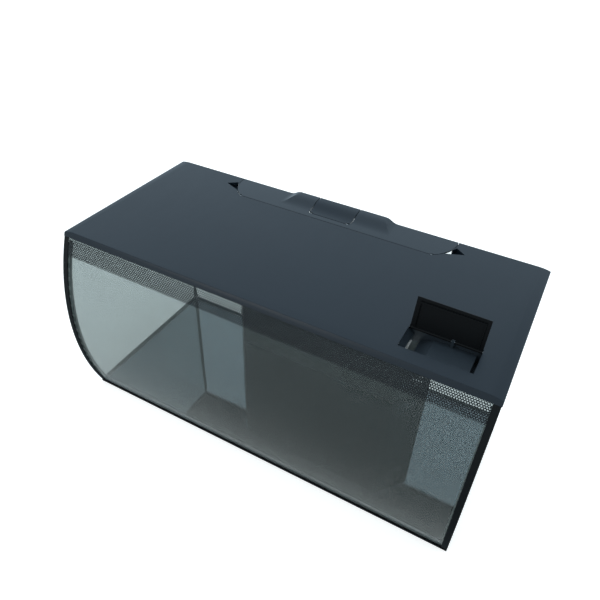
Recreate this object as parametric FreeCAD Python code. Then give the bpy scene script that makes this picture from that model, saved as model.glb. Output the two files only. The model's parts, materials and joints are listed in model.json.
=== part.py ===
"""Bow-front glass aquarium with a lift-off lid, rear filter chamber and circulation pump.

Millimetres. X runs along the tank, -Y is the front, +Z is up. The origin is the middle of the
footprint at the level of the surface that the tank stands on. The lid's feed flap is drawn open
on its stop, and every other moving piece is drawn closed or straight ahead.
"""
import FreeCAD, Part
import math
import os

from FreeCAD import Vector

# ---- overall sizes ----
lid_width = 820.0
tank_depth = 396.0          # front of the bow to the back of the lid
lid_top_z = 402.0
rim_height = 10.5           # depth of the lid's outer edge
seat_gap = 0.3              # a loose piece above what it rests on
fit_gap = 0.3               # around pieces that drop into a hole

# ---- glass ----
glass = 6.0
lid_overhang = 2.0          # lid past the glass at the sides and the back
bow_sagitta = 42.0          # how far the front bows out
bow_margin = 1.0            # height left out of the bow at the top and the bottom
trim_skin = 1.2             # edge trims stand this proud of the glass
trim_face = 10.0            # width of an edge trim on the front
trim_return = 9.0           # width of an edge trim on the side
band_skin = 0.5             # printed honeycomb film
band_height = 34.0
seal_leg = 6.0              # silicone fillet leg

# ---- base ----
base_height = 3.5
base_lip = 1.0              # base frame past the glass
base_ring = 9.0             # width of the base frame

# ---- lid ----
plate = 2.8                 # wall of the lid moulding
ledge_width = 9.0           # rim shelf that sits on the glass
ledge_thick = 2.2
skirt_drop = 8.0
skirt_thick = 2.0
skirt_inset = 1.8           # skirt inside the glass
roll_width = 22.0           # soft roll-off along the short edges
roll_drop = 3.0
edge_round = 1.6

# ---- rear flap, its hump and its cable tab; depths are measured from the lid's back ----
flap_depth = 66.7
flap_front_half = 206.5     # half length of the straight hinge edge
flap_mid_half, flap_mid_depth = 234.5, 34.7    # a point on each rounded end
flap_rear_half = 240.0
flap_gap = 1.1
hump_height = 8.5
hump_left, hump_right = -97.0, 90.0
hump_ramp = 28.0
hump_depth = 50.0
hump_flat = 5.0
tab_left, tab_right = -54.0, 36.0
tab_depth = 52.7
tab_corner = 7.0
tab_gap = 1.3
notch_tip = (262.0, 35.7)   # each notch corner as half spacing and depth
notch_front = (227.0, 50.7)
notch_rear = (243.0, 20.7)
notch_collar = 9.0          # depth of the finger cup under each notch, open towards the flap
notch_wall = 1.6
wire_r = 0.7
wire_clear = 0.05
wire_reach = 12.0
hinge_relief = 2.6          # corner cut back so that a hinged edge swings clear

# ---- feed port ----
port_width = 116.0
port_depth = 57.1
port_from_side = 51.0
port_from_front = 26.6
feed_axis_from_rear = 3.5   # flap pin to the port's rear edge
feed_axis_drop = 2.5        # flap pin below the lid's top
feed_open_deg = 104.0
feed_side_gap = 0.8
feed_front_gap = 0.4
feed_barrel_r = 2.4
feed_pin_r = 1.0
feed_pin_clear = 0.06
feed_rib = 3.0
boss_reach, boss_half, boss_drop = 7.0, 4.0, 5.0    # lid bosses at the flap's pin
tray_wall = 2.0
tray_floor_drop = 14.0      # tray floor below the lid's top
tray_drop = 32.0            # tray bottom below the lid's top
chute_start, chute_end = 8.0, 19.0         # along the tray from its left end
ramp_top = 42.0
tray_floor_end = 109.0
tray_flange = 8.0
scoop_width = 134.0
scoop_from_side = 14.0
scoop_depth = 4.0

# ---- filter chamber ----
chamber_depth = 77.7
chamber_front_half = 197.0
chamber_rear_half = 255.0
chamber_wall = 4.0
chamber_drop = 26.0         # chamber top below the lid's top
baffle_x = 95.0
baffle_thick = 3.0
window_height, window_drop = 67.0, 24.0    # intake window, and how far below the chamber's top
window_start, window_end = 22.0, 76.0      # along the slanted wall, from its front corner
slot_pitch = 8.0
slot_open = 4.0
cell_width, cell_inset = 88.0, 5.0         # one media stack, and its distance from the baffle
cell_margin = 4.0                          # from the chamber's front wall and the rear glass
basket_height = 140.5
basket_wall = 2.0
grip_height = 35.0                         # caddy grip above the foam
grip_clear = 6.0                           # grip below the chamber's top
caddy_foot = 3.0

# ---- pump and outlets ----
pump_half = 28.0
pump_height = 56.0
pump_inset = 11.7                          # from the chamber's front wall
pump_rear_gap = 10.0
foot_height = 4.5
shaft_height = 26.0                        # pump shaft above the pump's underside
outlet_r, outlet_bore = 9.0, 6.5
outlet_inset = 6.0
outlet_spigot = 16.0
hose_wall = 2.0
manifold_drop = 41.0                       # outlets below the chamber's top
manifold_half = 76.0
manifold_size = 24.0
nozzle_x = 62.0
socket_r = 14.0
socket_bore = 11.0
ring_bore = 8.5
ball_r = 8.2
spout_r, spout_bore = 5.0, 3.5

# ---- lamp ----
lamp_from_side, lamp_from_port = 70.0, 21.0
lamp_width = 50.0
lamp_back_y = 35.0
lamp_drop, lamp_height = 14.0, 14.0
lamp_wall = 2.0
lamp_screw_inset = 10.0
screw_r = 1.7
chip_pitch = 18.0

# ---- worked out: glass and lid ----
half_lid = lid_width / 2
back_y = tank_depth / 2
lid_under_z = lid_top_z - plate
rim_z = lid_top_z - rim_height
glass_top_z = rim_z - seat_gap
glass_half = half_lid - lid_overhang
glass_back_y = back_y - lid_overhang
rear_inner_y = glass_back_y - glass
floor_z = base_height + glass
bow_half_chord = lid_top_z / 2 - bow_margin
bow_r = (bow_half_chord ** 2 + bow_sagitta ** 2) / (2 * bow_sagitta)
bow_y = trim_skin - tank_depth / 2 + bow_r       # centre of the bow
bow_z = bow_half_chord


def bow_at(radius, z):
    """Y of the bow of this radius at a height."""
    return bow_y - math.sqrt(radius ** 2 - (z - bow_z) ** 2)


front_foot_y = bow_at(bow_r, floor_z)
lid_front_y = bow_at(bow_r + trim_skin, lid_top_z)

# ---- worked out: lid openings ----
flap_front_y = back_y - flap_depth
flap_mid = (flap_mid_half, back_y - flap_mid_depth)
hump_front_y = back_y - hump_depth
hump_full_y = back_y - hump_flat
tab_front_y = back_y - tab_depth
port_right = half_lid - port_from_side
port_left = port_right - port_width
port_front_y = lid_front_y + port_from_front
port_rear_y = port_front_y + port_depth
feed_axis_y = port_rear_y - feed_axis_from_rear
feed_axis_z = lid_top_z - feed_axis_drop
tray_floor_z = lid_top_z - tray_floor_drop
tray_bottom_z = lid_top_z - tray_drop
chute_left = port_left + chute_start
chute_right = port_left + chute_end
ramp_top_x = port_left + ramp_top
tray_floor_end_x = port_left + tray_floor_end
scoop_right = half_lid - scoop_from_side
scoop_left = scoop_right - scoop_width

# ---- worked out: chamber, pump and lamp ----
chamber_front_y = rear_inner_y - chamber_depth
chamber_top_z = lid_top_z - chamber_drop
window_high = chamber_top_z - window_drop
window_low = window_high - window_height
cell_left = baffle_x + cell_inset
cell_right = cell_left + cell_width
cell_front_y = chamber_front_y + chamber_wall + cell_margin - fit_gap
cell_rear_y = rear_inner_y - cell_margin
basket_top_z = floor_z + basket_height
grip_top_z = chamber_top_z - grip_clear
foam_top_z = grip_top_z - grip_height
pump_front_y = chamber_front_y + chamber_wall + pump_inset
pump_rear_y = rear_inner_y - pump_rear_gap
pump_low_z = floor_z + foot_height
pump_high_z = pump_low_z + pump_height
pump_shaft_z = pump_low_z + shaft_height
outlet_y = pump_front_y + outlet_inset
manifold_z = chamber_top_z - manifold_drop
lamp_left = -half_lid + lamp_from_side
lamp_right = port_left - lamp_from_port
lamp_rear_y = lamp_back_y
lamp_front_y = lamp_rear_y - lamp_width
lamp_top_z = lid_top_z - lamp_drop
lamp_bottom_z = lamp_top_z - lamp_height


# ---- shape helpers ----
def box(x0, x1, y0, y1, z0, z1):
    return Part.makeBox(x1 - x0, y1 - y0, z1 - z0, Vector(x0, y0, z0))


def rod(radius, start, end):
    run = Vector(*end) - Vector(*start)
    return Part.makeCylinder(radius, run.Length, Vector(*start), run)


def tube(outer, inner, start, end):
    return rod(outer, start, end).cut(rod(inner, start, end))


def wire_of(points):
    """Closed wire through points; an entry (point, mid) reaches the point by an arc through mid."""
    edges = []
    ends = [p if isinstance(p, Vector) else p[0] for p in points]
    for i, p in enumerate(points):
        before = ends[i - 1]
        if isinstance(p, Vector):
            edges.append(Part.makeLine(before, p))
        else:
            edges.append(Part.Arc(before, p[1], p[0]).toShape())
    return Part.Wire(edges)


def prism(points, run):
    return Part.Face(wire_of(points)).extrude(run)


def plan(points, z0, z1):
    return prism([Vector(x, y, z0) for x, y in points], Vector(0, 0, z1 - z0))


def mirrored(shape):
    return shape.mirror(Vector(0, 0, 0), Vector(1, 0, 0))


def joined(shapes):
    first = shapes[0]
    return first.fuse(shapes[1:]) if len(shapes) > 1 else first


def clean(shape):
    return shape.removeSplitter()


def bow_slab(r_out, r_in, x0, x1, z0, z1):
    """Solid between two bows, from x0 to x1 and z0 to z1."""
    mid = (z0 + z1) / 2
    corner = [Vector(x0, bow_at(r_in, z0), z0), Vector(x0, bow_at(r_out, z0), z0)]
    outer = (Vector(x0, bow_at(r_out, z1), z1), Vector(x0, bow_at(r_out, mid), mid))
    inner = (corner[0], Vector(x0, bow_at(r_in, mid), mid))
    points = [inner, corner[1], outer, Vector(x0, bow_at(r_in, z1), z1)]
    return prism(points, Vector(x1 - x0, 0, 0))


def save(name, shape):
    if isinstance(shape, (list, tuple)):
        shape = Part.makeCompound(list(shape))
    shape.exportStep(os.path.join("parts", name + ".step"))
    print(f"{name}: {len(shape.Solids)} solid(s), {shape.Volume / 1000:.1f} cm3, valid {shape.isValid()}")


# ---- glass box and base ----
def build_tank():
    base_front_y = bow_at(bow_r + trim_skin, base_height) - base_lip
    ring_outer = box(-glass_half - base_lip, glass_half + base_lip,
                     base_front_y, glass_back_y + base_lip, 0, base_height)
    ring_inner = box(-glass_half + base_ring, glass_half - base_ring,
                     base_front_y + base_ring, glass_back_y - base_ring, 0, base_height)
    save("base_frame", ring_outer.cut(ring_inner))
    save("levelling_mat", box(-glass_half + base_ring + fit_gap, glass_half - base_ring - fit_gap,
                              base_front_y + base_ring + fit_gap,
                              glass_back_y - base_ring - fit_gap, 0, base_height))
    sole_y = bow_at(bow_r, base_height)
    sole = prism([Vector(-glass_half, sole_y, base_height), Vector(-glass_half, front_foot_y, floor_z),
                  Vector(-glass_half, glass_back_y, floor_z), Vector(-glass_half, glass_back_y, base_height)],
                 Vector(2 * glass_half, 0, 0))
    save("bottom_glass", sole)
    save("rear_glass", box(-glass_half, glass_half, rear_inner_y, glass_back_y, floor_z, glass_top_z))
    save("front_glass", bow_slab(bow_r, bow_r - glass, -glass_half, glass_half, floor_z, glass_top_z))

    mid_z = (floor_z + glass_top_z) / 2
    inner = bow_r - glass
    x0 = glass_half - glass
    side = prism([(Vector(x0, bow_at(inner, floor_z), floor_z), Vector(x0, bow_at(inner, mid_z), mid_z)),
                  Vector(x0, rear_inner_y, floor_z), Vector(x0, rear_inner_y, glass_top_z),
                  Vector(x0, bow_at(inner, glass_top_z), glass_top_z)], Vector(glass, 0, 0))
    save("right_side_glass", side)
    save("left_side_glass", mirrored(side))

    face = bow_slab(bow_r + trim_skin, bow_r, glass_half - trim_face, glass_half + base_lip,
                    base_height, glass_top_z)
    side_skin = bow_slab(bow_r + trim_skin, bow_r - trim_return, glass_half, glass_half + base_lip,
                         base_height, glass_top_z)
    trim = clean(face.fuse(side_skin))
    save("right_edge_trim", trim)
    save("left_edge_trim", mirrored(trim))
    band_half = glass_half - trim_face
    save("honeycomb_band", bow_slab(bow_r + band_skin, bow_r, -band_half, band_half,
                                    glass_top_z - band_height, glass_top_z))


def build_seals():
    """Silicone fillets: one solid along each inside corner, kept clear of one another."""
    half = glass_half - glass
    inner = bow_r - glass
    low, high = floor_z, glass_top_z - 2 * seal_leg
    foot = bow_at(inner, floor_z)
    end = seal_leg + 1
    back = prism([Vector(-half + end, rear_inner_y, low), Vector(-half + end, rear_inner_y - seal_leg, low),
                  Vector(-half + end, rear_inner_y, low + seal_leg)],
                 Vector(half - end - chamber_rear_half - 1, 0, 0))
    front = prism([Vector(-half + end, foot, low), Vector(-half + end, foot + seal_leg, low),
                   Vector(-half + end, bow_at(inner, low + seal_leg), low + seal_leg)],
                  Vector(2 * (half - end), 0, 0))
    foot_z = low + seal_leg + 1
    post = prism([Vector(half, rear_inner_y, foot_z), Vector(half - seal_leg, rear_inner_y, foot_z),
                  Vector(half, rear_inner_y - seal_leg, foot_z)], Vector(0, 0, high - foot_z))
    run = prism([Vector(half, foot + end, low), Vector(half - seal_leg, foot + end, low),
                 Vector(half, foot + end, low + seal_leg)], Vector(0, rear_inner_y - foot - 2 * end, 0))
    curve = bow_slab(inner, inner - seal_leg, half - seal_leg, half, low + seal_leg + 3, high)
    save("glass_seams", [back, mirrored(back), front, post, mirrored(post), run, mirrored(run),
                         curve, mirrored(curve)])


# ---- filter chamber ----
wall_run = math.hypot(chamber_rear_half - chamber_front_half, rear_inner_y - chamber_front_y)
wall_deg = math.degrees(math.atan2(rear_inner_y - chamber_front_y, chamber_rear_half - chamber_front_half))


def on_slant(u0, u1, depth0, depth1, z0, z1):
    """Box in the right slanted wall: u along it, depth inwards from its outer face."""
    shape = box(u0, u1, depth0, depth1, z0, z1)
    shape.rotate(Vector(0, 0, 0), Vector(0, 0, 1), wall_deg)
    shape.translate(Vector(chamber_front_half, chamber_front_y, 0))
    return shape


def build_chamber():
    tan_half = math.tan(math.radians(wall_deg) / 2)
    slant = (chamber_rear_half - chamber_front_half) / (rear_inner_y - chamber_front_y)
    thick_x = chamber_wall * math.hypot(1, slant)
    inner_front = chamber_front_half - chamber_wall * tan_half
    inner_y = chamber_front_y + chamber_wall
    outer = plan([(-chamber_rear_half, rear_inner_y), (-chamber_front_half, chamber_front_y),
                  (chamber_front_half, chamber_front_y), (chamber_rear_half, rear_inner_y)],
                 floor_z, chamber_top_z)
    hollow = plan([(-chamber_rear_half + thick_x, rear_inner_y), (-inner_front, inner_y),
                   (inner_front, inner_y), (chamber_rear_half - thick_x, rear_inner_y)],
                  floor_z, chamber_top_z)
    housing = outer.cut(hollow)
    window = on_slant(window_start, window_end, -1, chamber_wall + 1, window_low, window_high)
    low_slots = [on_slant(window_start + i * slot_pitch, window_start + i * slot_pitch + slot_open,
                          -1, chamber_wall + 1, floor_z + 20, floor_z + 60)
                 for i in range(int((window_end - window_start) // slot_pitch) + 1)]
    cuts = [window, mirrored(window)] + low_slots + [mirrored(s) for s in low_slots]
    cuts += [rod(socket_r + 0.2, (s * nozzle_x, chamber_front_y - 1, manifold_z),
                 (s * nozzle_x, inner_y + 1, manifold_z)) for s in (-1, 1)]
    save("filter_housing", housing.cut(cuts))

    grille = on_slant(window_start + fit_gap, window_end - fit_gap, 0.5, chamber_wall - 0.5,
                      window_low + fit_gap, window_high - fit_gap)
    bars = []
    z = window_low + slot_pitch / 2
    while z + slot_open < window_high - 2:
        bars.append(on_slant(window_start + 4, window_end - 4, 0, chamber_wall, z, z + slot_open))
        z += slot_pitch
    grille = grille.cut(bars)
    save("right_intake_grille", grille)
    save("left_intake_grille", mirrored(grille))

    baffle = box(baffle_x - baffle_thick / 2, baffle_x + baffle_thick / 2, inner_y, rear_inner_y,
                 floor_z, chamber_top_z - 6)
    passage = box(baffle_x - baffle_thick, baffle_x + baffle_thick, inner_y + 12, rear_inner_y - 12,
                  floor_z + 8, floor_z + 52)
    baffle = baffle.cut(passage)
    save("right_baffle", baffle)
    save("left_baffle", mirrored(baffle))


def build_media():
    basket = box(cell_left, cell_right, cell_front_y, cell_rear_y, floor_z, basket_top_z)
    basket = basket.cut(box(cell_left + basket_wall, cell_right - basket_wall, cell_front_y + basket_wall,
                            cell_rear_y - basket_wall, floor_z + basket_wall, basket_top_z))
    slots = []
    x = cell_left + slot_pitch
    while x + slot_open < cell_right - basket_wall:
        slots.append(box(x, x + slot_open, cell_front_y + slot_pitch, cell_rear_y - slot_pitch,
                         floor_z - 1, floor_z + basket_wall + 1))
        slots.append(box(x, x + slot_open, cell_front_y - 1, cell_front_y + basket_wall + 1,
                         floor_z + 20, basket_top_z - 20))
        x += 2 * slot_pitch
    basket = basket.cut(slots)

    bag_low = floor_z + basket_wall
    bag_high = bag_low + 44
    bag = box(cell_left + 4, cell_right - 4, cell_front_y + 4, cell_rear_y - 4, bag_low, bag_high)
    bag = bag.makeFillet(6, bag.Edges)

    ring_r, ring_hole, ring_tall = 9.0, 4.5, 14.0
    ring_pitch = 2 * ring_r + fit_gap
    across = int((cell_right - cell_left - 2 * basket_wall) // ring_pitch)
    deep = int((cell_rear_y - cell_front_y - 2 * basket_wall) // ring_pitch)
    start_x = (cell_left + cell_right - (across - 1) * ring_pitch) / 2
    start_y = (cell_front_y + cell_rear_y - (deep - 1) * ring_pitch) / 2
    rings = []
    for layer in range(3):
        z = bag_high + layer * ring_tall
        for i in range(across):
            for j in range(deep):
                at = (start_x + i * ring_pitch, start_y + j * ring_pitch)
                rings.append(tube(ring_r, ring_hole, (*at, z), (*at, z + ring_tall)))

    foot = box(cell_left, cell_right, cell_front_y, cell_rear_y, basket_top_z, basket_top_z + caddy_foot)
    foot = foot.cut([box(x0, x0 + 14, cell_front_y + 10, cell_rear_y - 10,
                         basket_top_z - 1, basket_top_z + caddy_foot + 1)
                     for x0 in (cell_left + 10, cell_left + 37, cell_left + 64)])
    mid_y = (cell_front_y + cell_rear_y) / 2
    posts = [box(x0, x0 + 3, mid_y - 12, mid_y + 12, basket_top_z + caddy_foot, grip_top_z)
             for x0 in (cell_left, cell_right - 3)]
    grip = box(cell_left, cell_right, mid_y - 8, mid_y + 8, grip_top_z - 6, grip_top_z)
    caddy = clean(joined([foot] + posts + [grip]))
    foam = box(cell_left + 3.3, cell_right - 3.3, cell_front_y + 1, cell_rear_y - 1,
               basket_top_z + caddy_foot, foam_top_z)

    for side, place in (("right", lambda s: s), ("left", mirrored)):
        save(f"{side}_media_basket", place(basket))
        save(f"{side}_carbon_bag", place(bag))
        save(f"{side}_ceramic_rings", [place(r) for r in rings])
        save(f"{side}_foam_caddy", place(caddy))
        save(f"{side}_foam_block", place(foam))


# ---- pump ----
def build_pump():
    volute_r, volute_deep = 16.0, 12.0
    well_r, well_end = 9.5, pump_rear_y - 8
    shaft_r, shaft_clear = 1.5, 0.05
    centre = pump_shaft_z
    shaft_start, shaft_end = pump_front_y - 3, well_end + 4

    body = box(-pump_half, pump_half, pump_front_y, pump_rear_y, pump_low_z, pump_high_z)
    corners = [e for e in body.Edges if abs(e.tangentAt(e.FirstParameter).y) > 0.9]
    body = body.makeFillet(8, corners)
    body = body.fuse(rod(outlet_r, (0, outlet_y, pump_high_z), (0, outlet_y, pump_high_z + outlet_spigot)))
    body = body.cut([rod(volute_r, (0, pump_front_y, centre), (0, pump_front_y + volute_deep, centre)),
                     rod(well_r, (0, pump_front_y, centre), (0, well_end, centre)),
                     rod(outlet_bore - 1, (0, outlet_y, centre), (0, outlet_y, pump_high_z + outlet_spigot)),
                     rod(shaft_r + shaft_clear, (0, well_end - 1, centre), (0, shaft_end, centre))])
    save("pump_body", clean(body))

    cover = box(-pump_half, pump_half, pump_front_y - 4, pump_front_y, pump_low_z, pump_high_z)
    corners = [e for e in cover.Edges if abs(e.tangentAt(e.FirstParameter).y) > 0.9]
    cover = cover.makeFillet(8, corners)
    slots = [box(-20, 20, pump_front_y - 5, pump_front_y + 1, centre + dz, centre + dz + 2.5)
             for dz in (-18, -12, 9, 15)]
    bearing = rod(shaft_r + shaft_clear, (0, shaft_start, centre), (0, pump_front_y + 1, centre))
    cover = cover.cut(slots + [bearing])
    save("pump_cover", cover)

    blade_r, blade_start, blade_end = 13.0, pump_front_y + 2, pump_front_y + 10
    hub = rod(5, (0, blade_start, centre), (0, blade_end, centre))
    magnet = rod(well_r - 1, (0, blade_end, centre), (0, well_end - 2, centre))
    blades = []
    for i in range(6):
        blade = box(-0.9, 0.9, blade_start, blade_end, centre + 3, centre + blade_r)
        blade.rotate(Vector(0, 0, centre), Vector(0, 1, 0), 60 * i)
        blades.append(blade)
    impeller = joined([hub, magnet] + blades)
    impeller = impeller.cut(rod(shaft_r + shaft_clear, (0, blade_start - 1, centre), (0, well_end, centre)))
    save("impeller", clean(impeller))
    save("impeller_shaft", rod(shaft_r, (0, shaft_start, centre), (0, shaft_end, centre)))

    mid_y = (pump_front_y + pump_rear_y) / 2
    save("suction_feet", [Part.makeCone(7, 4.5, pump_low_z - floor_z, Vector(x, mid_y + y, floor_z))
                          for x in (-19, 19) for y in (-17, 17)])
    cap_z = pump_high_z
    save("pump_cable_gland", tube(6, 3.2, (0, mid_y + 14, cap_z), (0, mid_y + 14, cap_z + 10)))

    hose_top = manifold_z - manifold_size / 2
    save("riser_hose", tube(outlet_r + fit_gap / 2 + hose_wall, outlet_r + fit_gap / 2,
                            (0, outlet_y, pump_high_z + fit_gap), (0, outlet_y, hose_top - 14)))
    stem = tube(outlet_r, outlet_bore, (0, outlet_y, hose_top - 28), (0, outlet_y, hose_top))
    collar = tube(outlet_r + 3, outlet_bore, (0, outlet_y, hose_top - 14 + fit_gap), (0, outlet_y, hose_top))
    half = manifold_size / 2
    duct = box(-manifold_half, manifold_half, outlet_y - half, outlet_y + half,
               manifold_z - half, manifold_z + half)
    duct = duct.cut([box(-manifold_half + 2, manifold_half - 2, outlet_y - half + 2, outlet_y + half - 2,
                         manifold_z - half + 2, manifold_z + half - 2),
                     rod(outlet_bore, (0, outlet_y, manifold_z - half - 1), (0, outlet_y, manifold_z))]
                    + [rod(ring_bore, (s * nozzle_x, outlet_y - half - 1, manifold_z),
                           (s * nozzle_x, outlet_y - half + 3, manifold_z)) for s in (-1, 1)])
    save("outlet_manifold", clean(joined([duct, stem, collar])))


def build_nozzles():
    face_y = chamber_front_y
    ball_y = face_y - 4
    ring_r = socket_bore - fit_gap
    pin_r, pin_clear = 1.0, 0.06
    manifold_face = outlet_y - manifold_size / 2
    for side, s in (("left", -1), ("right", 1)):
        x = s * nozzle_x

        def along(radius, y0, y1):
            return rod(radius, (x, y0, manifold_z), (x, y1, manifold_z))

        flange_r = socket_r + 5
        socket = along(flange_r, face_y - 3, face_y).fuse(along(socket_r, face_y - 8, manifold_face))
        save(f"{side}_nozzle_socket", clean(socket.cut(along(socket_bore, face_y - 9, manifold_face + 1))))
        ring = along(ring_r, ball_y - 5, ball_y + 5).cut(along(ring_bore, ball_y - 6, ball_y + 6))
        pin_hole = rod(pin_r + pin_clear, (x - ring_r, ball_y, manifold_z), (x + ring_r, ball_y, manifold_z))
        save(f"{side}_nozzle_ring", ring.cut(pin_hole))
        ball = Part.makeSphere(ball_r, Vector(x, ball_y, manifold_z))
        spout = along(spout_r, ball_y - 16, ball_y)
        pins = rod(pin_r, (x - ring_r + 0.4, ball_y, manifold_z), (x + ring_r - 0.4, ball_y, manifold_z))
        nozzle = joined([ball, spout, pins]).cut(along(spout_bore, ball_y - 17, ball_y + ball_r + 1))
        save(f"{side}_nozzle", clean(nozzle))


# ---- lid ----
def hump(z_shift):
    """Raised rear middle of the lid, as the overlap of a long profile and a side profile."""
    z0 = lid_top_z - 6
    top = lid_top_z + hump_height + z_shift
    low = lid_top_z + z_shift

    def s_curve(start, end, flat):
        a, b = Vector(*start), Vector(*end)
        shape = Part.BezierCurve()
        shape.setPoles([a, a + flat, b - flat, b])
        return shape.toShape()

    left, right = hump_left - hump_ramp, hump_right + hump_ramp
    ease_x = Vector(hump_ramp / 2, 0, 0)
    y0 = hump_front_y - 1
    edges = [s_curve((left, y0, low), (hump_left, y0, top), ease_x),
             Part.makeLine(Vector(hump_left, y0, top), Vector(hump_right, y0, top)),
             s_curve((hump_right, y0, top), (right, y0, low), ease_x),
             Part.makeLine(Vector(right, y0, low), Vector(right, y0, z0)),
             Part.makeLine(Vector(right, y0, z0), Vector(left, y0, z0)),
             Part.makeLine(Vector(left, y0, z0), Vector(left, y0, low))]
    length = Part.Face(Part.Wire(edges)).extrude(Vector(0, back_y - y0, 0))
    ease_y = Vector(0, (hump_full_y - hump_front_y) / 2, 0)
    x0 = left - 1
    edges = [s_curve((x0, hump_front_y, low), (x0, hump_full_y, top), ease_y),
             Part.makeLine(Vector(x0, hump_full_y, top), Vector(x0, back_y, top)),
             Part.makeLine(Vector(x0, back_y, top), Vector(x0, back_y, z0)),
             Part.makeLine(Vector(x0, back_y, z0), Vector(x0, hump_front_y, z0)),
             Part.makeLine(Vector(x0, hump_front_y, z0), Vector(x0, hump_front_y, low))]
    side = Part.Face(Part.Wire(edges)).extrude(Vector(right - left + 2, 0, 0))
    return length.common(side)


def lid_blank():
    """Outside of the lid: flat top, rolled short edges, front edge on the bow."""
    roll_x = half_lid - roll_width
    shoulder_z = lid_top_z - roll_drop
    roll_r = (roll_width ** 2 + roll_drop ** 2) / (2 * roll_drop)
    mid_deg = math.degrees(math.asin(roll_width / roll_r)) / 2
    mid_x = roll_x + roll_r * math.sin(math.radians(mid_deg))
    mid_z = lid_top_z - roll_r * (1 - math.cos(math.radians(mid_deg)))
    y0 = -back_y
    points = [Vector(half_lid, y0, rim_z), Vector(half_lid, y0, shoulder_z),
              (Vector(roll_x, y0, lid_top_z), Vector(mid_x, y0, mid_z)), Vector(-roll_x, y0, lid_top_z),
              (Vector(-half_lid, y0, shoulder_z), Vector(-mid_x, y0, mid_z)), Vector(-half_lid, y0, rim_z)]
    length = prism(points, Vector(0, 2 * back_y, 0))
    radius = bow_r + trim_skin
    x0 = -half_lid - 1
    mid = (rim_z + lid_top_z) / 2
    front = Vector(x0, bow_at(radius, lid_top_z), lid_top_z)
    points = [Vector(x0, bow_at(radius, rim_z), rim_z), (front, Vector(x0, bow_at(radius, mid), mid)),
              Vector(x0, back_y, lid_top_z), Vector(x0, back_y, rim_z)]
    blank = length.common(prism(points, Vector(lid_width + 2, 0, 0)))
    picked = []
    for e in blank.Edges:
        spot = e.valueAt((e.FirstParameter + e.LastParameter) / 2)
        at_side = abs(abs(spot.x) - half_lid) < 0.1 and abs(spot.z - shoulder_z) < 0.1
        at_front = abs(spot.z - lid_top_z) < 0.1 and spot.y < 0 and abs(spot.x) < 1
        if at_side or at_front:
            picked.append(e)
    return blank.makeFillet(edge_round, picked)


def inset_box(inset, z0, z1):
    front = bow_at(bow_r + trim_skin, (z0 + z1) / 2) + inset
    return box(-half_lid + inset, half_lid - inset, front, back_y - inset, z0, z1)


def flap_prism(grow):
    fx, fy = flap_front_half + grow, flap_front_y - grow
    mx, my = flap_mid[0] + grow, flap_mid[1] - grow / 2
    rx, ry = flap_rear_half + grow, back_y
    z0 = rim_z - 20
    past = Vector(0, 20, 0)
    points = [(Vector(-fx, fy, z0), Vector(-mx, my, z0)), Vector(fx, fy, z0),
              (Vector(rx, ry, z0), Vector(mx, my, z0)), Vector(rx, ry, z0) + past,
              Vector(-rx, ry, z0) + past, Vector(-rx, ry, z0)]
    return prism(points, Vector(0, 0, 60))


def tab_prism(grow):
    r = tab_corner + grow
    left, right, front = tab_left - grow, tab_right + grow, tab_front_y - grow
    z0 = rim_z - 20
    bend = r * (1 - math.sqrt(0.5))
    points = [(Vector(left + r, front, z0), Vector(left + bend, front + bend, z0)),
              Vector(right - r, front, z0),
              (Vector(right, front + r, z0), Vector(right - bend, front + bend, z0)),
              Vector(right, back_y + 20, z0), Vector(left, back_y + 20, z0), Vector(left, front + r, z0)]
    return prism(points, Vector(0, 0, 60))


nose_r = plate / 2
flap_axis_y = flap_front_y + nose_r
tab_axis_y = tab_front_y + nose_r
nose_z = lid_top_z - nose_r


def with_nose(panel, x0, x1, front_y):
    """Rounds a panel's hinge edge about its wire and cuts its two front corners back."""
    axis_y = front_y + nose_r
    low, high = rim_z, lid_top_z + 1
    strip = box(x0 - wire_reach, x1 + wire_reach, front_y - 3, axis_y, low, high)
    ends = [box(x0 - wire_reach, x0, front_y - 3, axis_y + hinge_relief, low, high),
            box(x1, x1 + wire_reach, front_y - 3, axis_y + hinge_relief, low, high)]
    return panel.cut([strip] + ends).fuse(rod(nose_r, (x0, axis_y, nose_z), (x1, axis_y, nose_z)))


def wire_ends(x0, x1, y, grow):
    """Two short hinge wires, one at each end of a hinge edge."""
    r = wire_r + grow
    reach = wire_reach
    return [rod(r, (x0 - reach, y, nose_z), (x0 + reach, y, nose_z)),
            rod(r, (x1 - reach, y, nose_z), (x1 + reach, y, nose_z))]


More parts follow.
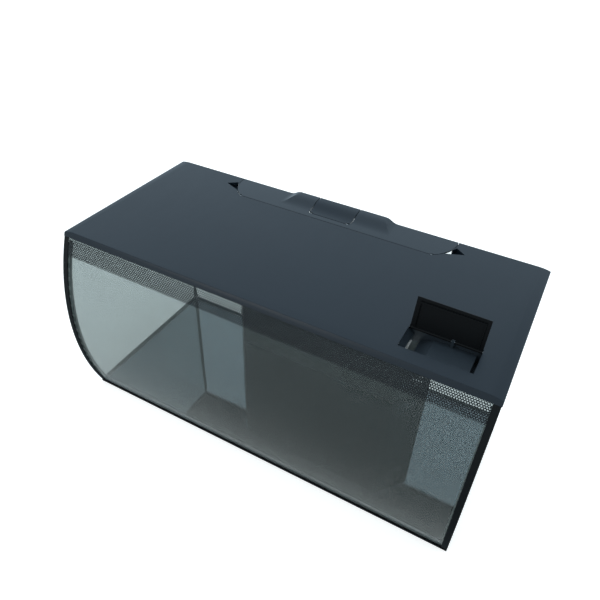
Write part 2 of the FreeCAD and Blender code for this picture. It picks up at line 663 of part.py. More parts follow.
def build_lid():
    blank = lid_blank().fuse(hump(0))
    hollow = inset_box(plate, rim_z + ledge_thick, lid_under_z)
    floor = inset_box(ledge_width, rim_z - 1, rim_z + ledge_thick)
    under_hump = hump(-plate).common(box(-half_lid, half_lid, 0, back_y - plate, rim_z, lid_top_z + 20))
    shell = blank.cut([hollow, floor, under_hump])

    # rear flap and tab come out of the same moulding line
    flap = shell.common(flap_prism(0))
    tab = flap.common(tab_prism(0))
    flap = flap.cut(tab_prism(tab_gap))
    flap = with_nose(flap, -flap_front_half, flap_front_half, flap_front_y)
    nose_left, nose_right = tab_left + tab_corner, tab_right - tab_corner
    tab = with_nose(tab, nose_left, nose_right, tab_front_y)
    flap_wires = wire_ends(-flap_front_half, flap_front_half, flap_axis_y, 0)
    flap_bores = wire_ends(-flap_front_half, flap_front_half, flap_axis_y, wire_clear)
    tab_wires = wire_ends(nose_left, nose_right, tab_axis_y, 0)
    tab_bores = wire_ends(nose_left, nose_right, tab_axis_y, wire_clear)
    save("rear_flap", clean(flap.cut(flap_bores + tab_bores)))
    save("cable_tab", clean(tab.cut(tab_bores)))
    save("rear_flap_hinge_wires", flap_wires)
    save("cable_tab_hinge_wires", tab_wires)

    # locating skirt inside the glass, open across the rear flap
    skirt_half = glass_half - glass - skirt_inset
    skirt_low = glass_top_z - skirt_drop
    skirt_front = bow_at(bow_r - glass, glass_top_z) + skirt_inset
    skirt_back = rear_inner_y - skirt_inset
    skirt = box(-skirt_half, skirt_half, skirt_front, skirt_back, skirt_low, lid_under_z)
    skirt = skirt.cut(box(-skirt_half + skirt_thick, skirt_half - skirt_thick, skirt_front + skirt_thick,
                          skirt_back - skirt_thick, skirt_low, lid_under_z))
    rear_gap = notch_tip[0] + 6
    skirt = skirt.cut(box(-rear_gap, rear_gap, flap_front_y, back_y, skirt_low - 1, lid_top_z))

    pad_front = skirt_front + skirt_thick
    pad_rear = port_front_y - tray_wall - fit_gap
    pad = box(scoop_left - 8, skirt_half - skirt_thick, pad_front, pad_rear, lid_under_z - 5, lid_under_z)
    bosses = [box(x0, x0 + boss_reach, feed_axis_y - boss_half, feed_axis_y + boss_half,
                  lid_under_z - boss_drop, lid_under_z) for x0 in (port_left - boss_reach, port_right)]
    pillars = [rod(4.5, (x, y, lamp_top_z), (x, y, lid_under_z)) for x, y in lamp_screw_spots()]
    rib_low = lid_under_z - 4
    beside = tray_wall + tray_flange
    rib_xs = (-half_lid + 40, port_left - beside - 1, port_right + beside + 5)
    ribs = [box(x - 1, x + 1, port_front_y + 8, flap_front_y - 12, rib_low, lid_under_z) for x in rib_xs]
    ribs += [box(rib_xs[0], rib_xs[1], y - 1, y + 1, rib_low, lid_under_z)
             for y in (lamp_front_y - 45, lamp_rear_y + 45)]
    notches = [notch_prism(s, 0, lid_under_z - notch_collar + notch_wall, lid_top_z + 10) for s in (-1, 1)]
    collars = [notch_prism(s, notch_wall, lid_under_z - notch_collar, lid_under_z) for s in (-1, 1)]
    shell = joined([shell, skirt, pad] + bosses + pillars + ribs + collars)

    scoop_r = (scoop_width ** 2 / 4 + scoop_depth ** 2) / (2 * scoop_depth)
    scoop_end = port_front_y - 3
    fall = scoop_depth / (scoop_end - lid_front_y)
    mid_x = (scoop_left + scoop_right) / 2
    along = Vector(0, -1, -fall)
    start = Vector(mid_x, scoop_end, lid_top_z + scoop_r)
    scoop = Part.makeCylinder(scoop_r, 60, start, along)
    scoop = scoop.common(box(mid_x - scoop_width, mid_x + scoop_width, lid_front_y - 20, scoop_end,
                             rim_z + 1, lid_top_z + 20))

    port = box(port_left, port_right, port_front_y, port_rear_y, rim_z - 10, lid_top_z + 10)
    pin_line = [(port_left - boss_reach + 1, feed_axis_y, feed_axis_z),
                (port_right + boss_reach - 1, feed_axis_y, feed_axis_z)]
    cuts = [flap_prism(flap_gap), port, scoop, rod(feed_pin_r + 0.02, *pin_line)] + notches
    cuts += flap_bores
    cuts += [rod(screw_r + 0.05, (x, y, lamp_top_z - 1), (x, y, lamp_top_z + 9))
             for x, y in lamp_screw_spots()]
    cuts += [rod(1.25, (x, y, lid_under_z - 1), (x, y, lid_top_z - 0.7)) for x, y in tray_screw_spots()]
    save("lid_shell", clean(shell.cut(cuts)))
    save("feed_hinge_pin", rod(feed_pin_r, *pin_line))


def notch_prism(side, grow, z0, z1):
    """Triangle beside one end of the rear flap, grown outwards by a wall."""
    corners = [(side * half, back_y - depth) for half, depth in (notch_tip, notch_front, notch_rear)]
    prism_up = plan(corners, z0, z1)
    if not grow:
        return prism_up
    foot = Part.Face(wire_of([Vector(x, y, z0) for x, y in corners])).makeOffset2D(grow)
    return foot.extrude(Vector(0, 0, z1 - z0)).cut(flap_prism(flap_gap))


def lamp_screw_spots():
    mid_y = (lamp_front_y + lamp_rear_y) / 2
    return [(x, mid_y + dy) for x in (lamp_left + lamp_screw_inset, lamp_right - lamp_screw_inset)
            for dy in (-14, 14)]


def tray_screw_spots():
    reach = tray_wall + tray_flange / 2
    rows = (port_front_y + 10.6, port_rear_y - 20.5)
    return [(x, y) for x in (port_left - reach, port_right + reach) for y in rows]


def build_feeder():
    """Feed flap, drawn shut and then swung open on its stop, and the tray under the port."""
    x0, x1 = port_left + feed_side_gap, port_right - feed_side_gap
    front = port_front_y + feed_front_gap
    panel = box(x0, x1, front, feed_axis_y, lid_under_z, lid_top_z)
    barrel = rod(feed_barrel_r, (x0, feed_axis_y, feed_axis_z), (x1, feed_axis_y, feed_axis_z))
    ribs = [box(x, x + 1.6, front + 8, feed_axis_y - 4, lid_under_z - feed_rib, lid_under_z)
            for x in (x0 + 6, x1 - 8)]
    ribs.append(box(x0 + 6, x1 - 6, front + 6, front + 8, lid_under_z - feed_rib, lid_under_z))
    flap = joined([panel, barrel] + ribs)
    knuckle_x = (port_left + port_right) / 2 + 12
    gap = box(knuckle_x - 3, knuckle_x + 3, feed_axis_y - 4, feed_axis_y + 4, lid_under_z - 6, lid_top_z + 1)
    bore = rod(feed_pin_r + feed_pin_clear, (x0 - 1, feed_axis_y, feed_axis_z),
               (x1 + 1, feed_axis_y, feed_axis_z))
    flap = clean(flap.cut([gap, bore]))
    flap.rotate(Vector(0, feed_axis_y, feed_axis_z), Vector(1, 0, 0), -feed_open_deg)
    save("feed_flap", flap)

    ox0, ox1 = port_left - tray_wall, port_right + tray_wall
    oy0, oy1 = port_front_y - tray_wall, port_rear_y + tray_wall
    well = box(ox0, ox1, oy0, oy1, tray_bottom_z, lid_under_z)
    well = well.cut(box(port_left, port_right, port_front_y, port_rear_y, tray_bottom_z - 1, lid_under_z + 1))
    flange = box(ox0 - tray_flange, ox1 + tray_flange, oy0 + 6, oy1, lid_under_z - 2.5, lid_under_z)
    flange = flange.cut(box(ox0, ox1, oy0, oy1, lid_under_z - feed_rib, lid_under_z))
    run = Vector(0, port_rear_y - port_front_y, 0)
    y = port_front_y
    cheek_top = feed_axis_z - feed_barrel_r - 1
    cheek = prism([Vector(port_left, y, cheek_top), Vector(port_left, y, tray_bottom_z),
                   Vector(chute_left, y, tray_bottom_z), Vector(chute_left, y, tray_floor_z - 3)], run)
    deck = prism([Vector(tray_floor_end_x, y, tray_floor_z), Vector(ramp_top_x, y, tray_floor_z),
                  Vector(chute_right, y, tray_bottom_z + 2), Vector(chute_right, y, tray_bottom_z),
                  Vector(chute_right + 3, y, tray_bottom_z),
                  Vector(ramp_top_x + 1, y, tray_floor_z - tray_wall),
                  Vector(tray_floor_end_x, y, tray_floor_z - tray_wall)], run)
    saddle = box(knuckle_x - 2.4, knuckle_x + 2.4, feed_axis_y - 2.2, port_rear_y,
                 tray_floor_z, feed_axis_z + 1.9)
    end_wall = box(tray_floor_end_x - tray_wall, tray_floor_end_x, port_front_y, port_rear_y,
                   tray_bottom_z, tray_floor_z)
    gutter = box(tray_floor_end_x, port_right, port_front_y, port_rear_y,
                 tray_bottom_z, tray_bottom_z + tray_wall)
    tray = joined([well, flange, cheek, deck, end_wall, gutter, saddle])
    clear = boss_reach + fit_gap
    reach_y = boss_half + fit_gap
    cuts = [box(x0, x0 + clear, feed_axis_y - reach_y, feed_axis_y + reach_y,
                lid_under_z - boss_drop - fit_gap, lid_under_z + 1) for x0 in (port_left - clear, port_right)]
    cuts.append(rod(feed_pin_r + 0.04, (knuckle_x - 4, feed_axis_y, feed_axis_z),
                    (knuckle_x + 4, feed_axis_y, feed_axis_z)))
    cuts += [rod(1.4, (sx, sy, lid_under_z - 4), (sx, sy, lid_under_z + 1)) for sx, sy in tray_screw_spots()]
    save("feed_tray", clean(tray.cut(cuts)))
    head_z = lid_under_z - 2.5
    screws = [rod(1.2, (sx, sy, head_z), (sx, sy, lid_top_z - 1)).fuse(
              rod(2.6, (sx, sy, head_z - 1.6), (sx, sy, head_z))) for sx, sy in tray_screw_spots()]
    save("tray_screws", screws)


# ---- lamp ----
def build_lamp():
    x0, x1, y0, y1 = lamp_left, lamp_right, lamp_front_y, lamp_rear_y
    shell = box(x0, x1, y0, y1, lamp_bottom_z, lamp_top_z)
    shell = shell.cut(box(x0 - 1, x1 + 1, y0 + lamp_wall, y1 - lamp_wall,
                          lamp_bottom_z - 1, lamp_top_z - lamp_wall))
    holes = [rod(screw_r + 0.2, (x, y, lamp_bottom_z), (x, y, lamp_top_z + 1)) for x, y in lamp_screw_spots()]
    mid_x = (x0 + x1) / 2
    gland_z = lamp_bottom_z + 7
    holes.append(rod(4, (mid_x, y1 - lamp_wall - 1, gland_z), (mid_x, y1 + 1, gland_z)))
    save("lamp_housing", shell.cut(holes))
    cap = box(x1, x1 + 3, y0, y1, lamp_bottom_z, lamp_top_z)
    other = box(x0 - 3, x0, y0, y1, lamp_bottom_z, lamp_top_z)
    save("lamp_end_caps", [cap, other])
    lip = lamp_wall + 0.1
    save("lamp_lens", box(x0 + 0.2, x1 - 0.2, y0 + lip, y1 - lip, lamp_bottom_z, lamp_bottom_z + 2))
    board_z = lamp_top_z - lamp_wall - 1.6
    edge = lamp_screw_inset + 6
    save("led_board", box(x0 + edge, x1 - edge, y0 + 6, y1 - 6, board_z, board_z + 1.6))
    count = int((x1 - x0 - 2 * edge - 10) // chip_pitch)
    first = mid_x - (count - 1) * chip_pitch / 2
    rows = ((y0 + y1) / 2 - 8, (y0 + y1) / 2 + 8)
    chips = [box(x - 2.5, x + 2.5, y - 2.5, y + 2.5, board_z - 0.8, board_z)
             for x in (first + i * chip_pitch for i in range(count)) for y in rows]
    save("led_chips", chips)
    under = lamp_top_z - lamp_wall
    screws = []
    for x, y in lamp_screw_spots():
        head = rod(3.2, (x, y, under - 2.4), (x, y, under))
        screws.append(head.fuse(rod(screw_r, (x, y, under), (x, y, lamp_top_z + 8))))
    save("lamp_screws", screws)
    neck = tube(3.9, 2.2, (mid_x, y1 - lamp_wall, gland_z), (mid_x, y1, gland_z))
    nut = tube(6, 2.2, (mid_x, y1, gland_z), (mid_x, y1 + 8, gland_z))
    save("lamp_cable_gland", clean(neck.fuse(nut)))


os.makedirs("parts", exist_ok=True)
build_tank()
build_seals()
build_chamber()
build_media()
build_pump()
build_nozzles()
build_lid()
build_feeder()
build_lamp()
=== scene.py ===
import json
import math

import bmesh
import bpy
from mathutils import Matrix, Vector, noise


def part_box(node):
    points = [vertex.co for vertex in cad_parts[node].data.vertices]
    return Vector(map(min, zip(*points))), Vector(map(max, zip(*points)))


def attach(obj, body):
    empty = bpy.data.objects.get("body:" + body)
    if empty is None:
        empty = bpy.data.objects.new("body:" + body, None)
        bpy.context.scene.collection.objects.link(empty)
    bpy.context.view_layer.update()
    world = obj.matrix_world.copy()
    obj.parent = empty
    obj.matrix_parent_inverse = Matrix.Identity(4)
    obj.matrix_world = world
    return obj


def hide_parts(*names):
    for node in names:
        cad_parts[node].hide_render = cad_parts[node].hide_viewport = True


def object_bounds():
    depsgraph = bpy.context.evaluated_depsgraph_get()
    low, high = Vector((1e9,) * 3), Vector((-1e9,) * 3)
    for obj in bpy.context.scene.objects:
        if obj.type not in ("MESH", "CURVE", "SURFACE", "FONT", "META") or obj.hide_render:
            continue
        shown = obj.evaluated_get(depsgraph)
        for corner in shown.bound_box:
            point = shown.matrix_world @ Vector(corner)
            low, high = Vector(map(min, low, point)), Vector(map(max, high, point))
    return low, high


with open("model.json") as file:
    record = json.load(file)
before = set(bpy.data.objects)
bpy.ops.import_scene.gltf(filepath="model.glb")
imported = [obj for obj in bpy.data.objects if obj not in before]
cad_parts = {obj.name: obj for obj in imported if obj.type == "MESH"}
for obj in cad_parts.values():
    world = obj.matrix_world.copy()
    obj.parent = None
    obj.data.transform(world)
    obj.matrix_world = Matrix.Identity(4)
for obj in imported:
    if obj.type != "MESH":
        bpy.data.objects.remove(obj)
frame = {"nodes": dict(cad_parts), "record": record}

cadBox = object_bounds()
scene = bpy.context.scene
bodyOf = {node: body for body, nodes in frame["record"]["behaviour"]["bodies"].items() for node in nodes}
slotOf = {part["node"]: part["material_slot"] for part in frame["record"]["subparts"]}
print("frame loaded:", len(frame["nodes"]), "nodes")


# shader sums
class Value:
    # a shader socket that can stand in an expression
    def __init__(self, finish, socket):
        self.finish, self.socket = finish, socket

    def sum(self, operation, first, second):
        return self.finish.node("ShaderNodeMath", {"operation": operation}, {0: first, 1: second})

    def __add__(self, other):
        return self.sum("ADD", self, other)

    def __radd__(self, other):
        return self.sum("ADD", other, self)

    def __sub__(self, other):
        return self.sum("SUBTRACT", self, other)

    def __rsub__(self, other):
        return self.sum("SUBTRACT", other, self)

    def __mul__(self, other):
        return self.sum("MULTIPLY", self, other)

    def __rmul__(self, other):
        return self.sum("MULTIPLY", other, self)


class Nodes:
    # builds the nodes of one tree
    def __init__(self, tree):
        self.tree = tree

    def node(self, kind, settings=None, values=None, out=0):
        made = self.tree.nodes.new(kind)
        for key, value in (settings or {}).items():
            if key == "stops":
                ramp = made.color_ramp
                while len(ramp.elements) < len(value):
                    ramp.elements.new(1.0)
                for stop, (place, colour) in zip(ramp.elements, value):
                    stop.position, stop.color = place, colour
            else:
                setattr(made, key, value)
        for key, value in (values or {}).items():
            self.feed(made.inputs[key], value)
        return Value(self, made.outputs[out])

    def feed(self, socket, value):
        if isinstance(value, Value):
            self.tree.links.new(value.socket, socket)
        else:
            socket.default_value = value

    def spread(self, value, low, high):
        return self.node("ShaderNodeMapRange", values={"Value": value, "To Min": low, "To Max": high})

    def eased(self, value, low, high):
        # 0 below low, 1 above high, with a soft step between
        return self.node("ShaderNodeMapRange", {"interpolation_type": "SMOOTHSTEP"},
                         {"Value": value, "From Min": low, "From Max": high})

    def mix(self, share, first, second):
        return self.node("ShaderNodeMix", {"data_type": "RGBA"}, {0: share, 6: first, 7: second}, 2)


class Finish(Nodes):
    # one material; constants go straight on the shader's sockets
    def __init__(self, name, **settings):
        self.material = bpy.data.materials.new(name)
        self.material.use_nodes = True
        super().__init__(self.material.node_tree)
        self.shader = self.tree.nodes["Principled BSDF"]
        for key, value in settings.items():
            self.set(key.replace("_", " "), value)

    def set(self, name, value):
        self.feed(self.shader.inputs[name], value)

    def place(self):
        return self.node("ShaderNodeTexCoord", out=3)

    def noise(self, scale, detail=3.0, roughness=0.5, stretch=None):
        where = self.place()
        if stretch:
            where = self.node("ShaderNodeMapping", values={"Vector": where, "Scale": stretch})
        return self.node("ShaderNodeTexNoise", values={"Vector": where, "Scale": scale, "Detail": detail,
                                                       "Roughness": roughness})

    def cells(self, scale):
        return self.node("ShaderNodeTexVoronoi", values={"Vector": self.place(), "Scale": scale},
                         out="Distance")

    def ramp(self, value, *stops):
        return self.node("ShaderNodeValToRGB", {"stops": stops}, {0: value})

    def bump(self, height, distance, strength=1.0):
        self.set("Normal", self.node("ShaderNodeBump", values={"Height": height, "Distance": distance,
                                                               "Strength": strength}))


def rgb(red, green, blue):
    return (red, green, blue, 1.0)


# finishes: scale, detail and roughness of the patterns in a moulding; grain depth in metres
moulding = {"clouds": (7.0, 4.0, 0.6), "smears": (38.0, 5.0, 0.7), "wipe": (1.0, 0.35, 1.0),
            "uneven": 0.06, "grain": 2200.0, "depth": 0.00002}


def moulded(name, dark, light, shine, grain=moulding["grain"], depth=moulding["depth"], gleam=0.5):
    # satin moulding: fine spark-eroded grain, faint cloudy colour and handling marks in the gloss
    f = Finish(name, IOR=1.5, Specular_IOR_Level=gleam)
    f.set("Base Color", f.mix(f.noise(*moulding["clouds"]), dark, light))
    smears = f.noise(*moulding["smears"], moulding["wipe"])
    f.set("Roughness", f.spread(smears, shine - moulding["uneven"], shine + moulding["uneven"]))
    f.bump(f.noise(grain, 2.0, 0.6), depth)
    return f.material


paneGlass = {"ior": 1.5, "tint": rgb(0.505, 0.548, 0.542), "shade": rgb(0.78, 0.82, 0.815)}


def clearGlass(name, tint=paneGlass["tint"], **more):
    # clear float glass, a little grey-green; lamps reach through it and cast its shade
    f = Finish(name, IOR=paneGlass["ior"], Roughness=0.0, Base_Color=tint, **more)
    lampRay = f.node("ShaderNodeLightPath", out=1)
    clear = f.node("ShaderNodeBsdfTransparent", values={"Color": paneGlass["shade"]})
    both = f.node("ShaderNodeMixShader", values={0: lampRay, 1: Value(f, f.shader.outputs[0]), 2: clear})
    f.tree.links.new(both.socket, f.tree.nodes["Material Output"].inputs["Surface"])
    return f.material


def blackRubber():
    f = Finish("blackRubber", IOR=1.5)
    dust = f.noise(60.0, 6.0, 0.7)
    f.set("Base Color", f.mix(dust, rgb(0.010, 0.010, 0.0105), rgb(0.020, 0.020, 0.021)))
    f.set("Roughness", f.spread(dust, 0.45, 0.67))
    f.bump(f.noise(900.0, 3.0), 0.00004)
    return f.material


def siliconeBead():
    # cured translucent bead drawn with a wet finger: glossy, with slow ripples along it
    f = Finish("siliconeBead", IOR=1.42, Transmission_Weight=0.7, Coat_Weight=0.3, Coat_Roughness=0.15)
    ripple = f.noise(45.0, 2.0, 0.4)
    f.set("Base Color", f.mix(ripple, rgb(0.26, 0.32, 0.31), rgb(0.36, 0.42, 0.41)))
    f.set("Roughness", f.spread(ripple, 0.22, 0.42))
    f.bump(ripple, 0.0006, 0.5)
    return f.material


def openFoam():
    # reticulated filter foam: round pores between bright struts; the pores are painted near-black as shade
    # inside them
    f = Finish("filterFoam", IOR=1.4, Roughness=0.95)
    strutsAndPoreShade = f.ramp(f.cells(520.0), (0.25, rgb(0, 0, 0)), (0.62, rgb(1, 1, 1)))
    tint = f.mix(f.noise(30.0, 3.0), rgb(0.020, 0.024, 0.028), rgb(0.045, 0.050, 0.056))
    # the pore centres get painted shade, near-black; the struts keep the foam's own tint
    f.set("Base Color", f.mix(strutsAndPoreShade, rgb(0.004, 0.005, 0.006), tint))
    f.bump(strutsAndPoreShade, 0.0012)
    return f.material


def clothBag():
    # knitted nylon over black granules
    f = Finish("clothBag", IOR=1.45)
    threads = f.node("ShaderNodeTexWave", {"wave_type": "BANDS", "bands_direction": "X"},
                     {"Vector": f.place(), "Scale": 190.0, "Distortion": 0.6})
    rows = f.node("ShaderNodeTexWave", {"wave_type": "BANDS", "bands_direction": "Z"},
                  {"Vector": f.place(), "Scale": 230.0, "Distortion": 0.6})
    knit = threads * 0.5 + rows * 0.5
    grains = f.cells(210.0)
    f.set("Base Color", f.mix(knit, rgb(0.012, 0.012, 0.013), rgb(0.16, 0.165, 0.17)))
    f.set("Roughness", f.spread(knit, 0.9, 0.7))
    f.bump(knit * 0.35 + grains * 1.4, 0.0012)
    return f.material


def ceramic():
    f = Finish("sinteredCeramic", IOR=1.5)
    speckle = f.noise(700.0, 5.0, 0.75)
    f.set("Base Color", f.ramp(speckle, (0.30, rgb(0.48, 0.44, 0.37)), (0.52, rgb(0.72, 0.69, 0.62)),
                               (0.75, rgb(0.80, 0.78, 0.73))))
    f.set("Roughness", f.spread(speckle, 0.95, 0.75))
    f.bump(speckle, 0.0004)
    return f.material


def steel():
    f = Finish("drawnSteel", Metallic=1.0)
    lines = f.noise(300.0, 3.0, 0.6, (0.04, 1.0, 1.0))
    f.set("Base Color", f.mix(lines, rgb(0.46, 0.47, 0.48), rgb(0.66, 0.67, 0.68)))
    f.set("Roughness", f.spread(lines, 0.16, 0.34))
    f.bump(lines, 0.00002)
    return f.material


def anodised():
    f = Finish("anodisedAluminium", Metallic=1.0)
    lines = f.noise(420.0, 4.0, 0.7, (0.02, 1.0, 1.0))
    f.set("Base Color", f.mix(lines, rgb(0.50, 0.51, 0.52), rgb(0.68, 0.69, 0.70)))
    f.set("Roughness", f.spread(lines, 0.28, 0.46))
    f.bump(lines, 0.00003)
    return f.material


def diffuser():
    # frosted cover with fine lengthwise prisms
    f = Finish("prismDiffuser", IOR=1.49, Transmission_Weight=0.85, Base_Color=rgb(0.90, 0.92, 0.93))
    prisms = f.node("ShaderNodeTexWave", {"wave_type": "BANDS", "bands_direction": "Y"},
                    {"Vector": f.place(), "Scale": 160.0})
    f.set("Roughness", f.spread(prisms, 0.32, 0.5))
    f.bump(prisms, 0.0004)
    return f.material


def circuitWhite():
    # solder mask with faint lanes between the diodes
    f = Finish("circuitWhite", IOR=1.5)
    lanes = f.node("ShaderNodeTexBrick", {"offset": 0.5},
                   {"Vector": f.place(), "Color1": rgb(0.74, 0.75, 0.74), "Color2": rgb(0.70, 0.71, 0.70),
                    "Mortar": rgb(0.56, 0.57, 0.56), "Scale": 55.0, "Mortar Size": 0.015})
    f.set("Base Color", lanes)
    f.set("Roughness", f.spread(f.noise(90.0), 0.34, 0.5))
    return f.material


def phosphor():
    f = Finish("phosphor", IOR=1.45)
    f.set("Base Color", f.mix(f.noise(900.0, 2.0), rgb(0.72, 0.46, 0.05), rgb(0.86, 0.62, 0.12)))
    f.set("Roughness", f.spread(f.noise(400.0), 0.2, 0.4))
    return f.material


def matFoam():
    f = Finish("closedCellFoam", IOR=1.4)
    cells = f.cells(850.0)
    f.set("Base Color", f.mix(cells, rgb(0.016, 0.017, 0.018), rgb(0.035, 0.037, 0.038)))
    f.set("Roughness", f.spread(cells, 0.75, 0.95))
    f.bump(cells, 0.0003)
    return f.material


def printedFilm():
    f = Finish("printedFilm", IOR=1.5, Specular_IOR_Level=0.3)
    ink = f.noise(240.0, 3.0)
    f.set("Base Color", f.mix(ink, rgb(0.010, 0.013, 0.016), rgb(0.018, 0.022, 0.026)))
    f.set("Roughness", f.spread(ink, 0.46, 0.58))
    return f.material


# where the painted shade on the flap's underside begins
flapShadeSplit = {"open": 104.0, "from": -0.1675}     # degrees the flap stands open; metres along its own up


def flapMoulding():
    # the slate top skin stops at the flap's edge; the inside is painted nearly black as shade
    f = Finish("flapMoulding", IOR=1.5, Specular_IOR_Level=0.16)
    lean = math.radians(flapShadeSplit["open"])
    away = Vector((0, math.sin(lean), math.cos(lean)))
    depth = f.node("ShaderNodeVectorMath", {"operation": "DOT_PRODUCT"}, {0: f.place(), 1: away}, 1)
    top = f.node("ShaderNodeMath", {"operation": "GREATER_THAN"}, {0: depth, 1: flapShadeSplit["from"]})
    slate = f.mix(f.noise(*moulding["clouds"]), rgb(0.026, 0.036, 0.048), rgb(0.030, 0.041, 0.054))
    # below the split the underside is painted near-black as shade; above it the slate moulding stays
    f.set("Base Color", f.mix(top, rgb(0.0018, 0.0024, 0.0032), slate))
    f.set("Roughness", f.spread(f.noise(*moulding["smears"]), 0.40, 0.52))
    f.bump(f.noise(moulding["grain"], 2.0, 0.6), moulding["depth"])
    return f.material


finishes = {
    "clear_glass": clearGlass("clearGlass", Transmission_Weight=0.99, Specular_Tint=rgb(0.75, 0.80, 0.80)),
    "lid_plastic": moulded("slateMoulding", rgb(0.0065, 0.0120, 0.0190), rgb(0.0085, 0.0150, 0.0235), 0.34,
                           gleam=0.40),
    "feed_plastic": moulded("feedMoulding", rgb(0.020, 0.028, 0.037), rgb(0.026, 0.036, 0.046), 0.44),
    "black_trim": moulded("trimBlack", rgb(0.0030, 0.0038, 0.0045), rgb(0.0045, 0.0055, 0.0065), 0.38,
                          gleam=0.2),
    "foam_mat": matFoam(),
    "honeycomb_film": printedFilm(),
    "silicone": siliconeBead(),
    "chamber_plastic": moulded("chamberMoulding", rgb(0.016, 0.024, 0.026), rgb(0.022, 0.031, 0.033),
                               0.36, 1500.0, 0.00003),
    "basket_plastic": moulded("basketMoulding", rgb(0.020, 0.022, 0.024), rgb(0.030, 0.032, 0.035), 0.42),
    "filter_foam": openFoam(),
    "carbon_cloth": clothBag(),
    "ring_ceramic": ceramic(),
    "pump_plastic": moulded("pumpMoulding", rgb(0.008, 0.009, 0.011), rgb(0.013, 0.014, 0.017), 0.45, 1200.0,
                            0.00005),
    "black_rubber": blackRubber(),
    "wire_steel": steel(),
    "lamp_aluminium": anodised(),
    "lamp_cap_plastic": moulded("lampCapMoulding", rgb(0.045, 0.047, 0.050), rgb(0.060, 0.062, 0.066), 0.4),
    "lamp_diffuser": diffuser(),
    "board_white": circuitWhite(),
    "led_yellow": phosphor(),
}
# nodes that differ from their slot: the pane on the dark mat is a mirror, the rear pane is paler as painted
# light, the rear flap is glossier and the feed flap's inside is painted nearly black as shade
ownFinish = {
    "bottom_glass": clearGlass("floorGlass", Transmission_Weight=1.0, Coat_Weight=1.0, Coat_IOR=2.3,
                               Coat_Roughness=0.0),
    # the paler tint is painted light, brightening what shows through this pane
    "rear_glass": clearGlass("rearGlass", rgb(0.80, 0.84, 0.84), Transmission_Weight=1.0),
    "rear_flap": moulded("rearFlapMoulding", rgb(0.0075, 0.0135, 0.0205), rgb(0.0100, 0.0165, 0.0250), 0.30,
                         gleam=0.52),
    "feed_flap": flapMoulding(),
}


def finishOf(node):
    return ownFinish.get(node, finishes[slotOf[node]])


for node, part in frame["nodes"].items():
    part.data.materials.clear()
    part.data.materials.append(finishOf(node))
print("finishes made:", len(finishes) + len(ownFinish))


# making pieces
def placed(name, bm):
    # an object in the scene with the bmesh as its mesh
    mesh = bpy.data.meshes.new(name)
    bm.to_mesh(mesh)
    bm.free()
    made = bpy.data.objects.new(name, mesh)
    scene.collection.objects.link(made)
    return made


def addPiece(name, bm, node, smooth=True):
    # a new piece that stands for a node, with its body and its slot's finish
    for face in bm.faces:
        face.smooth = smooth
    piece = placed(name, bm)
    piece.data.materials.append(finishOf(node))
    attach(piece, bodyOf[node])
    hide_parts(node)
    return piece


def everything(bm):
    return bm.verts[:] + bm.edges[:] + bm.faces[:]


weld = {"fine": 1e-6, "coarse": 1e-5}       # metres between points that are one


# the bow that the front follows
def bowCircle(node):
    # centre and radius of the node's outer face, from three of its points
    points = [v.co for v in frame["nodes"][node].data.vertices]
    front = min(points, key=lambda p: p.y)
    low = min(points, key=lambda p: (round(p.z, 5), p.y))
    high = min(points, key=lambda p: (-round(p.z, 5), p.y))
    a, b, c = [(p.y, p.z) for p in (low, front, high)]
    d = 2 * (a[0] * (b[1] - c[1]) + b[0] * (c[1] - a[1]) + c[0] * (a[1] - b[1]))
    squares = [p[0] ** 2 + p[1] ** 2 for p in (a, b, c)]
    y = (squares[0] * (b[1] - c[1]) + squares[1] * (c[1] - a[1]) + squares[2] * (a[1] - b[1])) / d
    z = (squares[0] * (c[0] - b[0]) + squares[1] * (a[0] - c[0]) + squares[2] * (b[0] - a[0])) / d
    return Vector((0, y, z)), math.hypot(a[0] - y, a[1] - z)


bowCentre, bowRadius = bowCircle("front_glass")

# honeycomb band
honeycomb = {"pitch": 0.0040, "bar": 0.0015, "skin": 0.00032, "lift": 0.00008}


def repeated(bm, geom, step):
    made = bmesh.ops.duplicate(bm, geom=geom)["geom"]
    copied = [v for v in made if isinstance(v, bmesh.types.BMVert)]
    bmesh.ops.translate(bm, verts=copied, vec=step)


